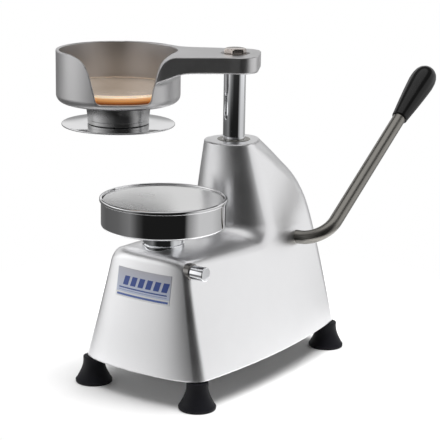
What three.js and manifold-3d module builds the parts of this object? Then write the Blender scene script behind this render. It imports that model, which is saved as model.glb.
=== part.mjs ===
// Hand-operated patty press for 100 mm hamburgers, in millimetres, +Z up.
// While it is built, the swing column stands on the Z axis, the lever is on the +X side, the front
// is -Y and the feet stand on z = 0. The last lines centre the whole press on its footprint.
import * as THREE from "three";
import { mergeVertices } from "three/addons/utils/BufferGeometryUtils.js";
import Module from "manifold-3d";

const wasm = await Module();
wasm.setup();

// ---- Driving dimensions -----------------------------------------------------------------------
const GAP = 0.3; // clearance between neighbouring pieces
const SWING_RADIUS = 101; // column axis to bowl axis, and to cup axis
const REST_SWING = THREE.MathUtils.degToRad(-61); // head swung aside for loading
const STROKE = 52; // travel of the head

const BODY_BOTTOM = 23; // lower edge of the casting
const BODY_TOP = 197; // flat top of the tower
const WALL = 4;
const FOOT_X = 54;
const FOOT_FRONT_Y = -125.6;
const FOOT_REAR_Y = 75.7;
const FOOT_TOP = BODY_BOTTOM - GAP;

const COLUMN_R = 9.5;
const SHAFT_Y = 38.6; // lever shaft axis
const SHAFT_Z = 108.6;
const SHAFT_R = 6;
const LEVER_ELEVATION = THREE.MathUtils.degToRad(34.9); // lever at rest, above the rearward horizontal
const PIN_Y = -115.5; // lock pin axis
const PIN_Z = 110.6;

const BOWL_BOTTOM = 139.9;
const BOWL_TOP = 164.4;
const BOWL_R = 51.4;
const EJECTOR_TOP = 162.9;
const PLATE_BOTTOM = 206.2;
const CUP_BOTTOM = 226.5;
const CUP_FLOOR = 231.6;
const ARM_TOP = 272;
const ARM_BOTTOM = 257.6;
const DISC_TOP = 239.5;

// ---- Materials --------------------------------------------------------------------------------
const finish = (color, roughness, metalness) => new THREE.MeshStandardMaterial({ color, roughness, metalness });
const castAluminium = finish(0xc9cacc, 0.35, 1);
const turnedAluminium = finish(0x9a9a9c, 0.25, 1);
const stainless = finish(0xd6d7d8, 0.12, 1);
const chrome = finish(0xe0e2e4, 0.06, 1);
const satinSteel = finish(0x9c9890, 0.3, 1);
const zincSteel = finish(0xa8a6a0, 0.4, 1);
const bronze = finish(0xa9894f, 0.4, 1);
const springSteel = finish(0x6c6a66, 0.4, 1);
const blackRubber = finish(0x18181a, 0.75, 0);
const blackPlastic = finish(0x0b0b0c, 0.2, 0);
const filmDiscs = finish(0xd9a766, 0.3, 0);
const labelFoil = finish(0xb9c4dd, 0.35, 0.5);

// ---- Geometry helpers -------------------------------------------------------------------------
function toSolid(geometry) {
  const bare = geometry.clone();
  bare.deleteAttribute("normal");
  bare.deleteAttribute("uv");
  const merged = mergeVertices(bare, 1e-4);
  const vertProperties = new Float32Array(merged.attributes.position.array);
  const triVerts = new Uint32Array(merged.index.array);
  return new wasm.Manifold(new wasm.Mesh({ numProp: 3, vertProperties, triVerts }));
}

function toGeometry(solid) {
  const { vertProperties, triVerts } = solid.getMesh();
  const geometry = new THREE.BufferGeometry();
  geometry.setAttribute("position", new THREE.BufferAttribute(vertProperties, 3));
  geometry.setIndex(new THREE.BufferAttribute(triVerts, 1));
  geometry.computeVertexNormals();
  return geometry;
}

function joined(...geometries) {
  return geometries.map(toSolid).reduce((sum, solid) => sum.add(solid));
}

function cutFrom(solid, ...geometries) {
  return geometries.reduce((rest, geometry) => rest.subtract(toSolid(geometry)), solid);
}

// A body of revolution about Z; each profile point is [radius, z], running upwards on the outside.
function turned(profile, segments = 32) {
  const points = profile.map(([r, z]) => new THREE.Vector2(r, z));
  return new THREE.LatheGeometry(points, segments).rotateX(Math.PI / 2);
}

function rod(radius, z0, z1, segments = 16) {
  return turned([[0, z0], [radius, z0], [radius, z1], [0, z1]], segments);
}

function sleeve(inner, outer, z0, z1, segments = 24) {
  return turned([[inner, z0], [outer, z0], [outer, z1], [inner, z1], [inner, z0]], segments);
}

function block(x0, x1, y0, y1, z0, z1) {
  return new THREE.BoxGeometry(x1 - x0, y1 - y0, z1 - z0).translate((x0 + x1) / 2, (y0 + y1) / 2, (z0 + z1) / 2);
}

// Turns a piece made about Z so that it lies along +X through (y, z).
function alongX(geometry, y, z) {
  return geometry.rotateY(Math.PI / 2).translate(0, y, z);
}

function hexagon(acrossFlats, z0, z1) {
  return rod(acrossFlats / Math.sqrt(3), z0, z1, 6);
}

// Points of a round corner in a turned profile, from one angle to another, in degrees.
function roundCorner(r, z, radius, from, to, steps = 3) {
  return Array.from({ length: steps + 1 }, (_, i) => {
    const angle = THREE.MathUtils.degToRad(from + ((to - from) * i) / steps);
    return [r + radius * Math.cos(angle), z + radius * Math.sin(angle)];
  });
}

function interpolate(table, z) {
  const last = table.length - 1;
  const i = Math.min(Math.max(table.findIndex(([height]) => height > z) - 1, 0), last - 1);
  const at = z >= table[last][0] ? last - 1 : i;
  const [z0, v0] = table[at];
  const [z1, v1] = table[at + 1];
  return v0 + ((v1 - v0) * (z - z0)) / (z1 - z0);
}

const press = new THREE.Group();
const head = new THREE.Group();
head.rotation.z = REST_SWING;
press.add(head);

function addPiece(group, name, shape, material) {
  const geometry = shape instanceof THREE.BufferGeometry ? shape : toGeometry(shape);
  const piece = new THREE.Mesh(geometry, material);
  piece.name = name;
  group.add(piece);
  return piece;
}

// ---- Housing casting --------------------------------------------------------------------------
// Horizontal sections, one per height, [z, value]: all four sides bowed, with round corners.
const FRONT_HALF_WIDTH = [[23, 62.5], [116, 38], [197, 24.5]];
const REAR_HALF_WIDTH = [[23, 57.5], [197, 24.5]];
const SIDE_BOW = [[23, 10], [111, 4], [197, 0]];
const FRONT = [
  [23, -141], [111, -127.6], [116, -125.8], [119.4, -121.6], [121, -116], [124, -46], [126.5, -36],
  [131, -31], [137, -29.3], [147, -28.6], [157, -28], [197, -26],
];
const REAR = [
  [23, 92.5], [47, 90], [91, 85], [106, 83], [124, 80], [139, 76], [153, 69], [164, 61], [175, 50],
  [187, 37.5], [197, 26],
];
const FRONT_BOW = [[23, 11.5], [111, 6], [121, 8], [124, 10], [137, 5], [197, 5]];
const FRONT_CORNER = [[23, 6], [111, 5], [121, 12], [124, 15], [157, 18], [197, 16]];
const REAR_BOW = [[23, 5], [197, 5]];
const REAR_CORNER = [[23, 12], [197, 16]];
const SECTION_HEIGHTS = [23, 66, 91, 111, 116, 119.4, 121, 124, 126.5, 131, 137, 147, 157, 167, 178, 188, 197];

// Half of one bowed end, from the middle line to the side; sign is -1 for the front. The corner
// stops short of a right angle by lean, the angle at which the bowed side leaves it.
function bowedEnd(halfWidth, y, bow, corner, sign, lean) {
  const bowRadius = (halfWidth ** 2 + bow ** 2) / (2 * bow);
  const cornerX = halfWidth - corner;
  const bowCentreY = y - sign * bowRadius;
  const cornerY = bowCentreY + sign * Math.sqrt((bowRadius - corner) ** 2 - cornerX ** 2);
  const meet = Math.asin(cornerX / (bowRadius - corner));
  const points = [];
  for (let i = 0; i < 3; i += 1) {
    const angle = (meet * i) / 3;
    points.push([bowRadius * Math.sin(angle), bowCentreY + sign * bowRadius * Math.cos(angle)]);
  }
  for (let i = 0; i <= 3; i += 1) {
    const angle = meet + ((Math.PI / 2 - lean - meet) * i) / 3;
    points.push([cornerX + corner * Math.sin(angle), cornerY + sign * corner * Math.cos(angle)]);
  }
  return points;
}

function housingSection(z, grow) {
  const at = (table) => interpolate(table, z);
  const front = at(FRONT) - grow;
  const rear = at(REAR) + grow;
  const sideBow = at(SIDE_BOW);
  const lean = (4 * sideBow) / (rear - front);
  const frontHalf = at(FRONT_HALF_WIDTH) + grow;
  const rearHalf = at(REAR_HALF_WIDTH) + grow;
  const frontEnd = bowedEnd(frontHalf, front, at(FRONT_BOW), at(FRONT_CORNER) + grow, -1, lean);
  const rearEnd = bowedEnd(rearHalf, rear, at(REAR_BOW), at(REAR_CORNER) + grow, 1, lean);
  const [x0, y0] = frontEnd[frontEnd.length - 1];
  const [x1, y1] = rearEnd[rearEnd.length - 1];
  const side = [0.25, 0.5, 0.75].map((t) => [
    x0 + (x1 - x0) * t + 4 * sideBow * t * (1 - t),
    y0 + (y1 - y0) * t,
  ]);
  const right = [...frontEnd, ...side, ...rearEnd.reverse()];
  const left = right.slice(1, -1).reverse().map(([x, y]) => [-x, y]);
  return [...right, ...left];
}

// The closed solid between z-sections; drop lowers the roof by that much, for the hollow inside.
function housingSolid(grow, bottom, drop) {
  const heights = SECTION_HEIGHTS.map((z) => (z === BODY_BOTTOM ? bottom : z - drop));
  const rings = SECTION_HEIGHTS.map((z) => housingSection(z, grow));
  const count = rings[0].length;
  const positions = rings.flatMap((ring, k) => ring.flatMap(([x, y]) => [x, y, heights[k]]));
  const indices = [];
  for (let k = 0; k + 1 < rings.length; k += 1) {
    for (let i = 0; i < count; i += 1) {
      const a = k * count + i;
      const b = k * count + ((i + 1) % count);
      indices.push(a, b, b + count, a, b + count, a + count);
    }
  }
  const roof = (rings.length - 1) * count;
  for (let i = 1; i + 1 < count; i += 1) {
    indices.push(0, i + 1, i);
    indices.push(roof, roof + i, roof + i + 1);
  }
  const geometry = new THREE.BufferGeometry();
  geometry.setAttribute("position", new THREE.BufferAttribute(new Float32Array(positions), 3));
  geometry.setIndex(indices);
  return toSolid(geometry);
}

const FEET = [
  ["front_right", FOOT_X, FOOT_FRONT_Y],
  ["front_left", -FOOT_X, FOOT_FRONT_Y],
  ["rear_right", FOOT_X, FOOT_REAR_Y],
  ["rear_left", -FOOT_X, FOOT_REAR_Y],
];
const BUSH_R = 14; // column bush, outside
const SHAFT_BUSH_R = 9;
const SHAFT_BOSS_R = 14;
const PIN_R = 3; // inner part of the lock pin
const PIN_BUSH_R = 5.4;
const FOOT_PLUG_R = 3.2; // plug on top of each foot, set in from the foot's own axis
const FOOT_PLUG_INSET = 4;
const SPIGOT_R = 14; // spigot under the bowl
const SPIGOT_BOTTOM = 105;
const PAD_TOP = 124; // flat pad on the deck, under the collar
const PAD_R = 17.5;
const WEB_BOTTOM = 36; // cross web that carries the ejector spring
const WEB_TOP = 42;
const STEM_R = 5;

function footPlugs(radius, z0, z1) {
  return FEET.map(([, x, y]) => rod(radius, z0, z1, 12).translate(
    x - FOOT_PLUG_INSET * Math.sign(x),
    y - FOOT_PLUG_INSET * Math.sign(y),
    0,
  ));
}

function makeHousing() {
  const outer = housingSolid(0, BODY_BOTTOM, 0);
  const cavity = housingSolid(-WALL, BODY_BOTTOM - 5, 5);
  let casting = outer.subtract(cavity);
  const insides = [
    rod(19, 146, BODY_TOP - 2, 24),
    rod(20, 104, 124, 24).translate(0, -SWING_RADIUS, 0),
    block(-75, 75, -SWING_RADIUS - 14, -SWING_RADIUS + 14, WEB_BOTTOM, WEB_TOP),
    alongX(rod(SHAFT_BOSS_R, 26, 50), SHAFT_Y, SHAFT_Z),
    alongX(rod(SHAFT_BOSS_R, -40, -26), SHAFT_Y, SHAFT_Z),
    alongX(rod(9, 17, 42), PIN_Y, PIN_Z),
    ...footPlugs(FOOT_PLUG_R + 4, BODY_BOTTOM, 42),
  ];
  for (const piece of insides) {
    casting = casting.add(toSolid(piece).intersect(outer));
  }
  casting = casting.add(toSolid(rod(PAD_R, 118, PAD_TOP, 28).translate(0, -SWING_RADIUS, 0)));
  const bores = [
    rod(PAD_R, PAD_TOP, 140, 28).translate(0, -SWING_RADIUS, 0),
    rod(BUSH_R + GAP, 140, 210, 24),
    rod(SPIGOT_R + GAP, 100, 135, 24).translate(0, -SWING_RADIUS, 0),
    rod(STEM_R + GAP, 30, 50).translate(0, -SWING_RADIUS, 0),
    alongX(rod(SHAFT_BUSH_R + GAP, 20, 50), SHAFT_Y, SHAFT_Z),
    alongX(rod(SHAFT_BUSH_R + GAP, -37, -20), SHAFT_Y, SHAFT_Z),
    alongX(rod(PIN_BUSH_R + GAP, 25.7, 60), PIN_Y, PIN_Z),
    alongX(rod(PIN_R + 2 * GAP, -6, 30), PIN_Y, PIN_Z),
    ...footPlugs(FOOT_PLUG_R + GAP, 10, 33),
  ];
  return cutFrom(casting, ...bores);
}
addPiece(press, "housing_casting", makeHousing(), castAluminium);

// Foil label, following the bowed front face.
const LABEL = { left: -26, right: 28, low: 83, high: 107 };
const labelShell = housingSolid(GAP + 0.5, BODY_BOTTOM, 0).subtract(housingSolid(GAP, BODY_BOTTOM, 0));
const labelArea = toSolid(block(LABEL.left, LABEL.right, -160, -100, LABEL.low, LABEL.high));
addPiece(press, "name_label", labelShell.intersect(labelArea), labelFoil);

// ---- Feet -------------------------------------------------------------------------------------
// Moulded rubber feet, each pressed by its plug into a boss in a corner of the casting.
const FOOT_PROFILE = [
  [0, 6], [5, 5], [6, 0], [14.1, 0], [15.6, 2.5], [14.8, 5], [12.3, 9], [10.2, 13], [9, 17], [9, FOOT_TOP],
  [0, FOOT_TOP],
];
const plugs = footPlugs(FOOT_PLUG_R, FOOT_TOP - 2, 32);
FEET.forEach(([corner, x, y], i) => {
  addPiece(press, `foot_${corner}`, joined(turned(FOOT_PROFILE, 16).translate(x, y, 0), plugs[i]), blackRubber);
});

// ---- Bushes in the casting --------------------------------------------------------------------
addPiece(press, "upper_column_bush", sleeve(COLUMN_R + GAP, BUSH_R, 176, BODY_TOP - 0.2), bronze);
addPiece(press, "lower_column_bush", sleeve(COLUMN_R + GAP, BUSH_R, 146, 164), bronze);
const rightShaftBush = alongX(sleeve(SHAFT_R + GAP, SHAFT_BUSH_R, 26, 42, 24), SHAFT_Y, SHAFT_Z);
addPiece(press, "right_shaft_bush", rightShaftBush, bronze);
const leftShaftBush = alongX(sleeve(SHAFT_R + GAP, SHAFT_BUSH_R, -36.7, -26, 24), SHAFT_Y, SHAFT_Z);
addPiece(press, "left_shaft_bush", leftShaftBush, bronze);

// ---- Lock pin: holds the bowl's spigot, pulled out to lift the bowl off for washing ------------
const PIN_OUTER_END = 54;
const pinBush = sleeve(PIN_R + GAP, PIN_BUSH_R, 26, 40.6, 20);
addPiece(press, "lock_pin_bush", alongX(pinBush, PIN_Y, PIN_Z), zincSteel);
const PIN_PROFILE = [
  [0, 0], [PIN_R - 1, 0], [PIN_R, 1], [PIN_R, 42], [6, 42],
  [6, PIN_OUTER_END - 1], [5, PIN_OUTER_END], [0, PIN_OUTER_END],
];
addPiece(press, "lock_pin", alongX(turned(PIN_PROFILE, 20), PIN_Y, PIN_Z), chrome);

// ---- Bowl and collar --------------------------------------------------------------------------
const BOWL_WALL = 1.2;
const RIM_R = 52.7;
const HUB_BORE_R = 8.6;
const bowlProfile = [
  [HUB_BORE_R, SPIGOT_BOTTOM],
  [SPIGOT_R, SPIGOT_BOTTOM],
  [SPIGOT_R, BOWL_BOTTOM],
  ...roundCorner(BOWL_R - 3, BOWL_BOTTOM + 3, 3, -90, 0),
  [BOWL_R, BOWL_TOP - 3.4],
  [RIM_R, BOWL_TOP - 3],
  [RIM_R, BOWL_TOP - 0.5],
  [RIM_R - 0.7, BOWL_TOP],
  [BOWL_R - BOWL_WALL, BOWL_TOP],
  ...roundCorner(BOWL_R - 3, BOWL_BOTTOM + 3, 3 - BOWL_WALL, 0, -90),
  [HUB_BORE_R, BOWL_BOTTOM + BOWL_WALL],
  [HUB_BORE_R, SPIGOT_BOTTOM],
];
const bowl = turned(bowlProfile, 40).translate(0, -SWING_RADIUS, 0);
const pinGroove = alongX(rod(PIN_R + 2 * GAP, -20, 20), PIN_Y, PIN_Z);
addPiece(press, "bowl", cutFrom(toSolid(bowl), pinGroove), stainless);
const collar = turned([
  [SPIGOT_R + GAP, PAD_TOP + GAP], [16, PAD_TOP + GAP], [16.5, 125], [16.5, 139], [16, BOWL_BOTTOM - GAP],
  [SPIGOT_R + GAP, BOWL_BOTTOM - GAP], [SPIGOT_R + GAP, PAD_TOP + GAP],
], 28);
addPiece(press, "bowl_collar", collar.translate(0, -SWING_RADIUS, 0), chrome);
const stemBush = sleeve(STEM_R + GAP, HUB_BORE_R - GAP, SPIGOT_BOTTOM, 117, 24);
addPiece(press, "stem_bush", stemBush.translate(0, -SWING_RADIUS, 0), bronze);

// ---- Ejector: plate, stem, bar and return spring ----------------------------------------------
const BAR_BOTTOM = 76;
const BAR_TOP = 82;
const NUT_HEIGHT = 6;
const EJECTOR_R = 49.7;
const ejectorPlate = turned([
  [0, 159], [STEM_R + GAP, 159], [STEM_R + GAP, 150], [8, 150], [8, EJECTOR_TOP - 3],
  [EJECTOR_R - 0.4, EJECTOR_TOP - 3], [EJECTOR_R, EJECTOR_TOP - 2.4], [EJECTOR_R, EJECTOR_TOP - 0.5],
  [EJECTOR_R - 0.5, EJECTOR_TOP], [0, EJECTOR_TOP],
], 40);
addPiece(press, "ejector_plate", ejectorPlate.translate(0, -SWING_RADIUS, 0), stainless);
addPiece(press, "ejector_stem", rod(STEM_R, 34, 158.7, 24).translate(0, -SWING_RADIUS, 0), zincSteel);
const barBore = rod(STEM_R + GAP, 60, 100).translate(0, -SWING_RADIUS, 0);
const barShape = new THREE.Shape()
  .moveTo(14, 0)
  .lineTo(14, -SWING_RADIUS)
  .absarc(0, -SWING_RADIUS, 14, 0, -Math.PI, true)
  .lineTo(-14, 0)
  .absarc(0, 0, 14, Math.PI, 0, true);
const barGeometry = new THREE.ExtrudeGeometry(barShape, {
  depth: BAR_TOP - BAR_BOTTOM,
  bevelEnabled: false,
  curveSegments: 8,
}).translate(0, 0, BAR_BOTTOM);
addPiece(press, "ejector_bar", cutFrom(toSolid(barGeometry), barBore), zincSteel);
const nutBore = rod(STEM_R + GAP, 60, 100);
const barNut = cutFrom(toSolid(hexagon(16, BAR_TOP + GAP, BAR_TOP + GAP + NUT_HEIGHT)), nutBore);
addPiece(press, "ejector_nut", barNut.translate([0, -SWING_RADIUS, 0]), zincSteel);
const stemClip = sleeve(STEM_R + GAP, 9, BAR_BOTTOM - 2.3, BAR_BOTTOM - GAP, 24);
addPiece(press, "ejector_stem_collar", stemClip.translate(0, -SWING_RADIUS, 0), zincSteel);

class Helix extends THREE.Curve {
  constructor(radius, z0, z1, turns) {
    super();
    Object.assign(this, { radius, z0, z1, turns });
  }

  getPoint(t, target = new THREE.Vector3()) {
    const angle = 2 * Math.PI * this.turns * t;
    const z = this.z0 + (this.z1 - this.z0) * t;
    return target.set(this.radius * Math.cos(angle), this.radius * Math.sin(angle), z);
  }
}

function coilSpring(coilRadius, wireRadius, z0, z1, turns) {
  const wire = new THREE.Shape().absarc(0, 0, wireRadius, 0, 2 * Math.PI);
  const extrudePath = new Helix(coilRadius, z0 + wireRadius, z1 - wireRadius, turns);
  return new THREE.ExtrudeGeometry(wire, { steps: turns * 9, curveSegments: 4, extrudePath });
}
const ejectorSpring = coilSpring(11, 1, WEB_TOP + 0.5, BAR_BOTTOM - 0.5, 4);
addPiece(press, "ejector_spring", ejectorSpring.translate(0, -SWING_RADIUS, 0), springSteel);

// ---- Lever: bent rod whose lower end is the shaft, knob and crank fork ------------------------
const LEVER_X = 70; // plane of the straight arm
const BEND_R = 25;
const KNOB_START = 158.5; // distance from the shaft axis
const KNOB_LENGTH = 67.5;
const SOCKET_DEPTH = 34;
const leverArm = new THREE.Vector3(0, Math.cos(LEVER_ELEVATION), Math.sin(LEVER_ELEVATION));
const shaftPoint = (x) => new THREE.Vector3(x, SHAFT_Y, SHAFT_Z);
const armPoint = (distance) => shaftPoint(LEVER_X).addScaledVector(leverArm, distance);

function quarterBend() {
  const pull = 0.5523 * BEND_R; // cubic handle length of a quarter circle
  const from = shaftPoint(LEVER_X - BEND_R);
  const to = armPoint(BEND_R);
  const leave = from.clone().add(new THREE.Vector3(pull, 0, 0));
  return new THREE.CubicBezierCurve3(from, leave, to.clone().addScaledVector(leverArm, -pull), to);
}
const leverPath = new THREE.CurvePath();
leverPath.add(new THREE.LineCurve3(shaftPoint(-36), shaftPoint(LEVER_X - BEND_R)));
leverPath.add(quarterBend());
leverPath.add(new THREE.LineCurve3(armPoint(BEND_R), armPoint(KNOB_START + SOCKET_DEPTH - 1)));
const rodSection = new THREE.Shape().absarc(0, 0, SHAFT_R, 0, 2 * Math.PI);
const leverRod = new THREE.ExtrudeGeometry(rodSection, { steps: 28, curveSegments: 10, extrudePath: leverPath });
const ROLL_PIN_R = 2.5;
const rollPinHole = rod(ROLL_PIN_R + GAP, -20, 20, 16).translate(0, SHAFT_Y, SHAFT_Z);
addPiece(press, "lever_rod", cutFrom(toSolid(leverRod), rollPinHole), satinSteel);

const knob = turned([
  [0, SOCKET_DEPTH], [SHAFT_R + GAP, SOCKET_DEPTH], [SHAFT_R + GAP, 0], [7.1, 0], [7.6, 1], [9.6, 26],
  [11.4, 44], [12, 52], ...roundCorner(0, KNOB_LENGTH - 12, 12, 10, 90, 5),
], 24);
const alongLever = new THREE.Quaternion().setFromUnitVectors(new THREE.Vector3(0, 0, 1), leverArm);
const knobBase = armPoint(KNOB_START);
const placedKnob = knob.applyQuaternion(alongLever).translate(knobBase.x, knobBase.y, knobBase.z);
addPiece(press, "lever_knob", placedKnob, blackPlastic);

const HALF_STROKE = STROKE / 2;
const FORK_REACH = Math.hypot(SHAFT_Y, HALF_STROKE); // shaft axis to block pin at both ends of the stroke
const FORK_TILT = Math.atan2(HALF_STROKE, SHAFT_Y);
const BLOCK_PIN_R = 4;
const SLOT_R = BLOCK_PIN_R + 1.8; // room for the pin's sideways play during the stroke
const FORK_TIP_R = SLOT_R + 4.5;
const FORK_INSIDE = 17.5;
const FORK_PLATE = 5;

// One fork plate, drawn flat with the shaft at the origin and the slot along +X.
function forkPlate(x) {
  const slotStart = SHAFT_Y - 2.5;
  const outline = new THREE.Shape()
    .absarc(0, 0, 12, Math.PI / 2, -Math.PI / 2, false)
    .lineTo(FORK_REACH, -FORK_TIP_R)
    .absarc(FORK_REACH, 0, FORK_TIP_R, -Math.PI / 2, Math.PI / 2, false);
  const slot = new THREE.Path()
    .moveTo(slotStart, SLOT_R)
    .absarc(slotStart, 0, SLOT_R, Math.PI / 2, -Math.PI / 2, false)
    .absarc(FORK_REACH, 0, SLOT_R, -Math.PI / 2, Math.PI / 2, false);
  outline.holes.push(slot);
  const settings = { depth: FORK_PLATE, bevelEnabled: false, curveSegments: 7 };
  const plate = new THREE.ExtrudeGeometry(outline, settings);
  // Drawing X becomes the direction from the shaft to the column, tilted up by FORK_TILT.
  const basis = new THREE.Matrix4().makeBasis(
    new THREE.Vector3(0, -Math.cos(FORK_TILT), Math.sin(FORK_TILT)),
    new THREE.Vector3(0, -Math.sin(FORK_TILT), -Math.cos(FORK_TILT)),
    new THREE.Vector3(1, 0, 0),
  );
  return plate.applyMatrix4(basis).translate(x, SHAFT_Y, SHAFT_Z);
}
const forkHub = alongX(rod(11, -22.5, 22.5, 20), SHAFT_Y, SHAFT_Z);
const forkBody = joined(forkHub, forkPlate(FORK_INSIDE), forkPlate(-FORK_INSIDE - FORK_PLATE));
const shaftBore = alongX(rod(SHAFT_R + GAP, -40, 40), SHAFT_Y, SHAFT_Z);
addPiece(press, "crank_fork", cutFrom(forkBody, shaftBore, rollPinHole), zincSteel);
const rollPin = rod(ROLL_PIN_R, -11, 11, 16).translate(0, SHAFT_Y, SHAFT_Z);
addPiece(press, "fork_roll_pin", rollPin, springSteel);

// ---- Lift block on the column -----------------------------------------------------------------
const BLOCK_Z = SHAFT_Z + HALF_STROKE;
const BLOCK_HALF = 7;
const liftRing = sleeve(COLUMN_R + GAP, 16, BLOCK_Z - BLOCK_HALF, BLOCK_Z + BLOCK_HALF, 24);
const liftPins = alongX(rod(BLOCK_PIN_R, -24, 24, 14), 0, BLOCK_Z);
const columnRoom = rod(COLUMN_R + GAP, BLOCK_Z - 20, BLOCK_Z + 20, 24);
addPiece(press, "lift_block", cutFrom(joined(liftRing, liftPins), columnRoom), zincSteel);

// ---- Head, drawn as it stands when the cup is over the bowl -----------------------------------
const CLIP_THICKNESS = 1.5;
const GROOVE_R = 8.4;
const CLIP_R = 13;
const COLUMN_BOTTOM = 118;
const SPIGOT_TOP_R = 7.5;
const clipHeights = [
  ["lower_circlip", BLOCK_Z - BLOCK_HALF - GAP - CLIP_THICKNESS],
  ["upper_circlip", BLOCK_Z + BLOCK_HALF + GAP],
];
const grooves = clipHeights.flatMap(([, z]) => [
  [COLUMN_R, z - 0.2], [GROOVE_R, z - 0.2], [GROOVE_R, z + CLIP_THICKNESS + 0.2],
  [COLUMN_R, z + CLIP_THICKNESS + 0.2],
]);
const BOLT_BOTTOM = 242;
const BOLT_R = 5;
const column = turned([
  [0, COLUMN_BOTTOM], [COLUMN_R - 1, COLUMN_BOTTOM], [COLUMN_R, COLUMN_BOTTOM + 1], ...grooves,
  [COLUMN_R, ARM_BOTTOM - GAP], [SPIGOT_TOP_R, ARM_BOTTOM - GAP], [SPIGOT_TOP_R, 267],
  [BOLT_R + GAP, 267], [BOLT_R + GAP, BOLT_BOTTOM - 1], [0, BOLT_BOTTOM - 1],
], 24);
addPiece(head, "column", column, chrome);
for (const [name, z] of clipHeights) {
  addPiece(head, name, sleeve(GROOVE_R + GAP, CLIP_R, z, z + CLIP_THICKNESS, 20), springSteel);
}

const BOLT_SEAT = 269.6;
const BOLT_HEAD_TOP = 276;
const boltShank = rod(BOLT_R, BOLT_BOTTOM, BOLT_SEAT + 2, 20);
const bolt = joined(boltShank, hexagon(17, BOLT_SEAT + GAP, BOLT_HEAD_TOP));
addPiece(head, "column_bolt", bolt, satinSteel);

const CUP_R = 53.9;
const CUP_WALL = 3;
const cupOutside = turned([
  [0, CUP_BOTTOM], ...roundCorner(CUP_R - 8.1, CUP_BOTTOM + 7, 7, -90, 0), [CUP_R, ARM_TOP], [0, ARM_TOP],
], 40);
const cupInside = turned([
  [0, CUP_FLOOR], ...roundCorner(CUP_R - 7.1, CUP_FLOOR + 3, 3, -90, 0), [CUP_R - CUP_WALL, ARM_TOP + 1],
  [0, ARM_TOP + 1],
], 40);
const ARM_HALF = 29;
const armShape = new THREE.Shape()
  .moveTo(ARM_HALF, 6)
  .absarc(ARM_HALF - 15, 6, 15, 0, Math.PI / 2, false)
  .absarc(-ARM_HALF + 15, 6, 15, Math.PI / 2, Math.PI, false)
  .lineTo(-ARM_HALF, -44)
  .quadraticCurveTo(-ARM_HALF - 1, -58, -44, -70)
  .lineTo(0, -SWING_RADIUS)
  .lineTo(39, -74)
  .lineTo(42.8, -67.8)
  .bezierCurveTo(36, -59, ARM_HALF + 7, -42, ARM_HALF + 4, -24)
  .quadraticCurveTo(ARM_HALF, -10, ARM_HALF, 6);

function armSlab(z0, z1) {
  const settings = { depth: z1 - z0, bevelEnabled: false, curveSegments: 6 };
  return new THREE.ExtrudeGeometry(armShape, settings).translate(0, 0, z0);
}

// Side view of the arm: level underneath, then curving down into the cup wall.
const gussetProfile = new THREE.Shape()
  .moveTo(30, ARM_BOTTOM)
  .lineTo(30, ARM_TOP)
  .lineTo(-SWING_RADIUS, ARM_TOP)
  .lineTo(-SWING_RADIUS, 248)
  .lineTo(-60, 250)
  .quadraticCurveTo(-50, 256, -36, ARM_BOTTOM)
  .lineTo(30, ARM_BOTTOM);
const gusset = new THREE.ExtrudeGeometry(gussetProfile, { depth: 140, bevelEnabled: false, curveSegments: 5 });
const uprightGusset = gusset.applyMatrix4(new THREE.Matrix4().makeBasis(
  new THREE.Vector3(0, 1, 0), new THREE.Vector3(0, 0, 1), new THREE.Vector3(1, 0, 0),
)).translate(-70, 0, 0);

// Loading cut-out in the cup wall, drawn as seen by someone facing it.
const CUTOUT_AZIMUTH = THREE.MathUtils.degToRad(14.2);
const cutoutShape = new THREE.Shape()
  .moveTo(19.5, CUP_FLOOR + 0.4)
  .quadraticCurveTo(22.6, CUP_FLOOR + 0.4, 23.2, 236)
  .lineTo(29, 258)
  .quadraticCurveTo(31.5, ARM_TOP - 1.5, 40, ARM_TOP)
  .lineTo(40, ARM_TOP + 5)
  .lineTo(-40, ARM_TOP + 5)
  .lineTo(-40, ARM_TOP)
  .quadraticCurveTo(-31.5, ARM_TOP - 1.5, -29, 258)
  .lineTo(-23.2, 236)
  .quadraticCurveTo(-22.6, CUP_FLOOR + 0.4, -19.5, CUP_FLOOR + 0.4)
  .lineTo(19.5, CUP_FLOOR + 0.4);
const cutoutPrism = new THREE.ExtrudeGeometry(cutoutShape, { depth: 60, bevelEnabled: false, curveSegments: 5 });
const cutout = cutoutPrism
  .applyMatrix4(new THREE.Matrix4().makeBasis(
    new THREE.Vector3(0, 1, 0), new THREE.Vector3(0, 0, 1), new THREE.Vector3(1, 0, 0),
  ))
  .translate(10, 0, 0)
  .rotateZ(CUTOUT_AZIMUTH)
  .translate(0, -SWING_RADIUS, 0);

const NECK_SCREWS = [30, 150, 270].map((degrees) => {
  const angle = THREE.MathUtils.degToRad(degrees);
  return [16 * Math.cos(angle), -SWING_RADIUS + 16 * Math.sin(angle)];
});
const SCREW_R = 2.5;
const arm = toSolid(armSlab(240, ARM_TOP)).intersect(toSolid(uprightGusset));
const headCasting = cutFrom(
  arm.add(toSolid(cupOutside.translate(0, -SWING_RADIUS, 0))),
  cupInside.translate(0, -SWING_RADIUS, 0),
  cutout,
  rod(SPIGOT_TOP_R + GAP, 240, 280),
  rod(12.5, BOLT_SEAT, 280, 32),
  ...NECK_SCREWS.map(([x, y]) => rod(SCREW_R + GAP, 220, 240, 12).translate(x, y, 0)),
  ...NECK_SCREWS.map(([x, y]) => rod(5, CUP_FLOOR - 2.6, 240, 16).translate(x, y, 0)),
);
addPiece(head, "arm_and_cup_casting", headCasting, castAluminium);

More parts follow.
